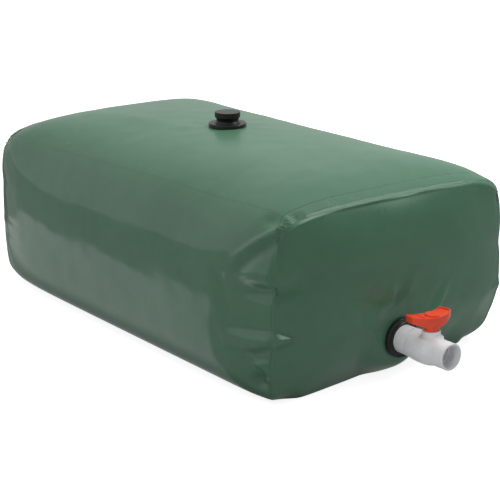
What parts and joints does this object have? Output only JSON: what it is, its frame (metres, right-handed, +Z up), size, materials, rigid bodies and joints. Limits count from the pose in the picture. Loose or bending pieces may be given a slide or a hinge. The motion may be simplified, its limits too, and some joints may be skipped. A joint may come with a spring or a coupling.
{
  "type": "collapsible water tank",
  "caption": "Filled pillow-shaped fabric water tank with a screw-capped filler on top and a ball valve at the foot of one end.",
  "frame": {"origin": "on the ground under the middle of the bag, at the mount base", "axes": "+X along the bag towards the valve and along the pipe's axis, +Y across the bag, +Z up"},
  "size_m": [1.3158, 0.712, 0.4849],
  "materials": {
    "coated_fabric": "glossy PVC coating on woven polyester",
    "black_plastic": "moulded, satin",
    "white_plastic": "moulded, semi-gloss",
    "red_plastic": "moulded, satin",
    "seat_plastic": "smooth, waxy",
    "rubber": "matte",
    "steel": "stainless"
  },
  "bodies": {
    "tank": {"body_sheet": "coated_fabric", "tap_end_panel": "coated_fabric", "far_end_panel": "coated_fabric", "filler_fitting": "black_plastic", "filler_gasket": "rubber", "filler_locknut": "black_plastic", "tank_adaptor": "black_plastic", "adaptor_gasket": "rubber", "outlet_washer": "rubber", "outlet_nut": "black_plastic", "valve_end_piece": "white_plastic", "end_piece_seal": "rubber", "valve_body": "white_plastic", "tank_side_seat": "seat_plastic", "outlet_side_seat": "seat_plastic", "thrust_washer": "seat_plastic"},
    "valve_turn": {"handle": "red_plastic", "handle_plug": "red_plastic", "handle_screw": "steel", "stem": "white_plastic", "lower_stem_seal": "rubber", "upper_stem_seal": "rubber", "ball": "white_plastic"},
    "liner": {"cap_liner": "rubber"},
    "cap": {"filler_cap": "black_plastic"}
  },
  "joints": [
    {"name": "handle_turn", "type": "hinge", "parent": "tank", "child": "valve_turn", "pos_m": [0.6698, 0, 0.092], "axis": [0, 0, 1], "range_deg": [0, 95]},
    {"name": "cap_rise", "type": "slide", "parent": "tank", "child": "liner", "axis": [0, 0, 1], "range_m": [0, 0.0165]},
    {"name": "cap_turn", "type": "hinge", "parent": "liner", "child": "cap", "pos_m": [-0.03, 0, 0.48], "axis": [0, 0, 1], "range_deg": [0, 1170]}
  ],
  "couplings": [
    {"joint": "cap_rise", "follows": "cap_turn", "m_per_rad": 0.00079577}
  ]
}
